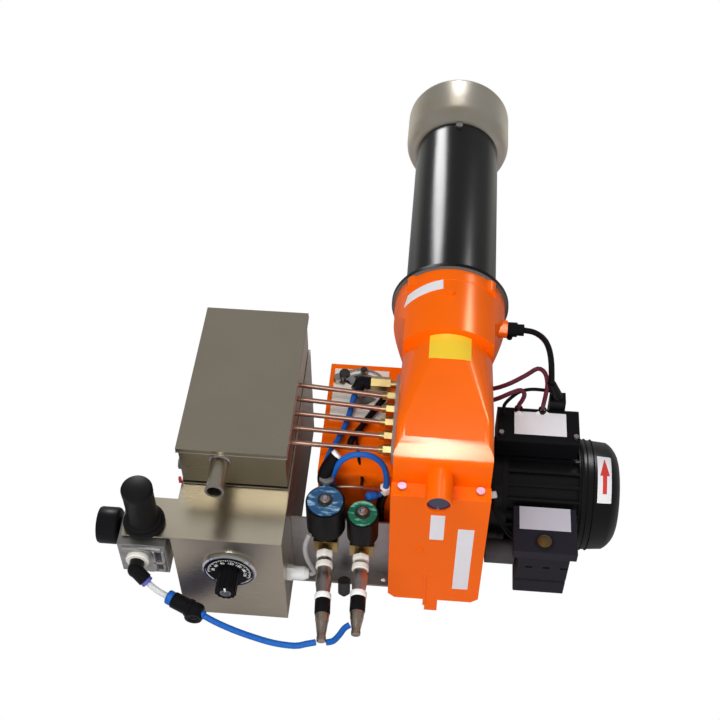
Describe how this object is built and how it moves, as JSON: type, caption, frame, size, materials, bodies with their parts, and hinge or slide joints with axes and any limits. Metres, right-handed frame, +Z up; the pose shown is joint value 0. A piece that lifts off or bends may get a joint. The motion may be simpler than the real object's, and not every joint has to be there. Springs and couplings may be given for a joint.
{
  "type": "waste oil burner",
  "caption": "Orange waste-oil burner with a black blast tube, stainless flame head, side fan motor, heated oil tank, air regulator and solenoid valves",
  "frame": {"origin": "Centre of the mounting flange's front face, on the axis of the blast tube", "axes": "+Y runs along the blast tube towards the flame, +X to the motor side, +Z up"},
  "size_m": [0.521, 0.669, 0.26],
  "materials": {
    "orange_paint": "gloss paint over a sand casting",
    "zinc": "bright zinc plate",
    "sight_glass": "dark blue glass",
    "black_steel": "black enamel",
    "gasket": "matt fibre gasket",
    "black_satin": "satin black paint",
    "stainless": "spun stainless, fine turned lines",
    "brass_gun": "drawn brass",
    "brass": "machined brass",
    "white_ceramic": "glazed",
    "galvanised": "galvanised sheet",
    "black_cast": "satin black over cast aluminium",
    "copper": "drawn copper",
    "steel": "ground steel",
    "black_plastic": "moulded black",
    "dark_grey_plastic": "moulded dark grey",
    "blue_grey_plastic": "moulded bluish grey",
    "amber": "translucent amber",
    "grey_plastic": "moulded grey",
    "black_rubber": "cable sheath",
    "burgundy_rubber": "silicone ignition lead",
    "cream_plastic": "pale moulding",
    "brushed_tank": "stainless sheet with a fine lengthwise brush",
    "chrome": "polished",
    "white_plastic": "nylon",
    "white_rubber": "white sheath",
    "bar_aluminium": "milled flat bar",
    "coloured_caps": "blue and green nylon discs with a plated nut",
    "cast_zinc": "die-cast, slightly rough",
    "clear_plastic": "clear tube",
    "blue_plastic": "blue polyurethane tube"
  },
  "bodies": {
    "burner": {"housing": "orange_paint", "rear_cover": "orange_paint", "fixing_screws": "zinc", "sight_glass": "sight_glass", "tube_flange": "black_steel", "flange_gasket": "gasket", "blast_tube": "black_satin", "flame_head": "stainless", "diffuser": "stainless", "nozzle_gun": "brass_gun", "nozzle": "brass", "electrode_rods": "stainless", "electrode_insulators": "white_ceramic", "motor_adapter": "black_cast", "motor_shell": "black_cast", "stator": "copper", "motor_bearings": "steel", "fan_cover": "black_cast", "ignition_transformer": "black_plastic", "control_base": "dark_grey_plastic", "control_unit": "blue_grey_plastic", "capacitor": "grey_plastic", "photocell": "black_plastic", "photocell_cable": "black_rubber", "ignition_leads": "burgundy_rubber", "transformer_cable": "black_rubber", "motor_leads": "black_rubber", "intake_housing": "orange_paint", "damper_plate": "cream_plastic", "tank": "brushed_tank", "heater_box": "brushed_tank", "heater_element": "steel", "thermostat_body": "chrome", "cable_gland": "white_plastic", "heater_cable": "white_rubber", "oil_pipes": "copper", "manifold_bar": "bar_aluminium", "pipe_nuts": "brass", "valve_bodies": "brass", "valve_coils": "black_plastic", "coil_caps": "coloured_caps", "outlet_fittings": "zinc", "push_in_fittings": "black_plastic", "support_frame": "galvanised", "regulator_body": "cast_zinc", "pressure_gauge": "black_plastic", "clear_tube": "clear_plastic", "hose_front": "blue_plastic", "hose_rear": "blue_plastic"},
    "fan_rotor": {"rotor": "steel", "impeller": "galvanised", "cooling_fan": "black_plastic"},
    "damper": {"damper_arm": "galvanised"},
    "lid": {"tank_lid": "brushed_tank"},
    "float_arm": {"float": "cream_plastic"},
    "thermostat": {"thermostat_knob": "black_plastic"},
    "regulator": {"regulator_knob": "black_plastic"},
    "button": {"reset_button": "amber"},
    "plunger_left": {"plunger_a": "steel"},
    "plunger_right": {"plunger_b": "steel"}
  },
  "joints": [
    {"name": "fan_spin", "type": "hinge", "parent": "burner", "child": "fan_rotor", "pos_m": [0.1, -0.144, -0.122], "axis": [-1, 0, 0], "continuous": true},
    {"name": "damper_turn", "type": "hinge", "parent": "burner", "child": "damper", "pos_m": [-0.087, -0.084, -0.05], "axis": [0, 0, 1], "range_deg": [-48, 36]},
    {"name": "lid_lift", "type": "slide", "parent": "burner", "child": "lid", "axis": [0, 0, 1], "range_m": [0, 0.08]},
    {"name": "float_swing", "type": "hinge", "parent": "burner", "child": "float_arm", "pos_m": [-0.166, -0.125, -0.031], "axis": [0, 1, 0], "range_deg": [-10, 12]},
    {"name": "thermostat_turn", "type": "hinge", "parent": "burner", "child": "thermostat", "pos_m": [-0.2, -0.271, -0.107], "axis": [0, 1, 0], "range_deg": [-270, 0]},
    {"name": "regulator_turn", "type": "hinge", "parent": "burner", "child": "regulator", "pos_m": [-0.281, -0.256, -0.03], "axis": [0, 0, 1], "range_deg": [-720, 720]},
    {"name": "button_press", "type": "slide", "parent": "burner", "child": "button", "axis": [0, 0, -1], "range_m": [0, 0.003], "stiffness_N_per_m": 300, "springref_m": -0.001},
    {"name": "plunger_lift_a", "type": "slide", "parent": "burner", "child": "plunger_left", "axis": [0, 0, 1], "range_m": [0, 0.003], "stiffness_N_per_m": 200, "springref_m": -0.001},
    {"name": "plunger_lift_b", "type": "slide", "parent": "burner", "child": "plunger_right", "axis": [0, 0, 1], "range_m": [0, 0.003], "stiffness_N_per_m": 200, "springref_m": -0.001}
  ]
}
